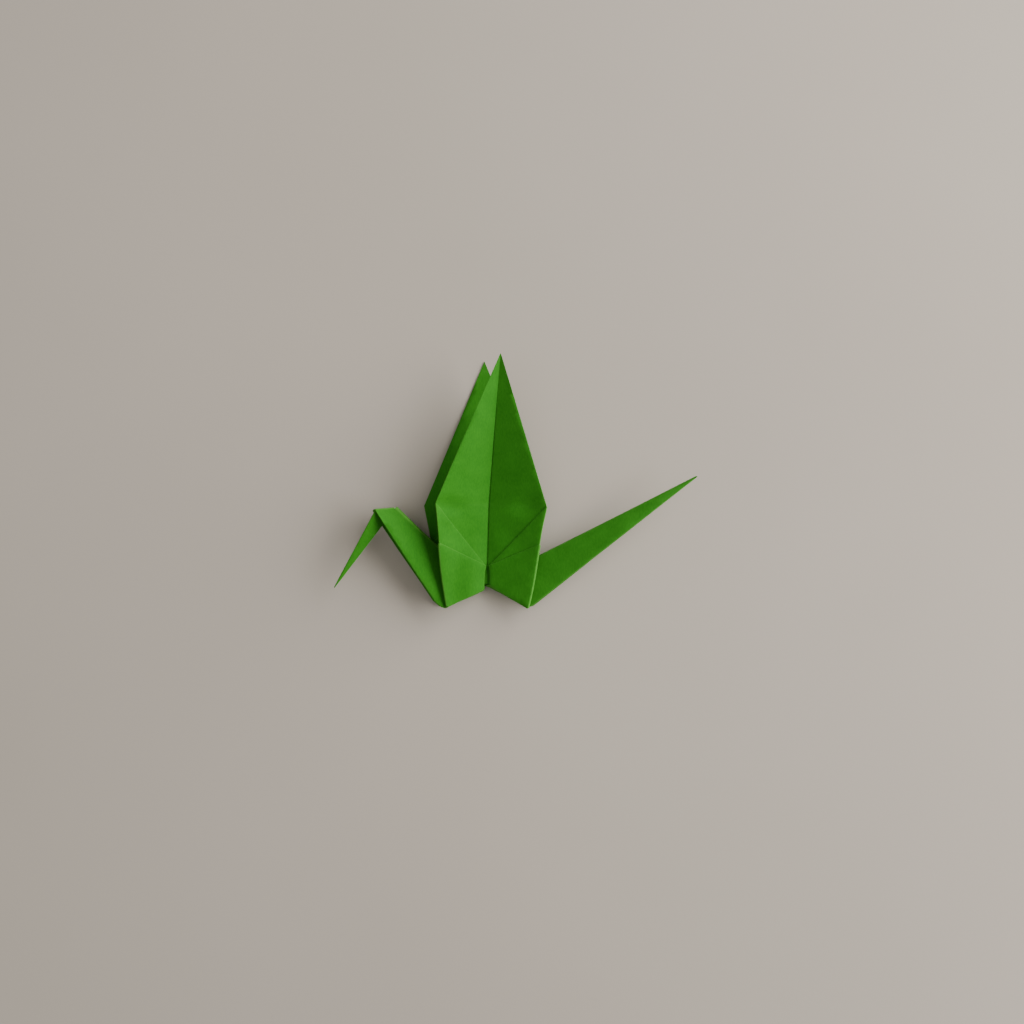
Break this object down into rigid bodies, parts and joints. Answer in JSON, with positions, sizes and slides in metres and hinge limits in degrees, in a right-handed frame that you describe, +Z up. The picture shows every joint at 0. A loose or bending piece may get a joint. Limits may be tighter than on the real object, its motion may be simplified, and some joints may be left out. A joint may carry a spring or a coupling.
{
  "type": "origami crane",
  "caption": "Paper crane folded from one square sheet, lying on its side with wings together, neck and head to the left and tail to the right.",
  "frame": {"origin": "middle of the crane's outline seen from above, on the surface it lies on", "axes": "+X towards the tail's tip, +Y towards the wing tips, +Z up from the surface it lies on"},
  "size_m": [0.1188, 0.0844, 0.0154],
  "materials": {
    "green_paper": "matt uncoated paper"
  },
  "bodies": {
    "root": {"folded_crane": "green_paper"}
  },
  "joints": []
}
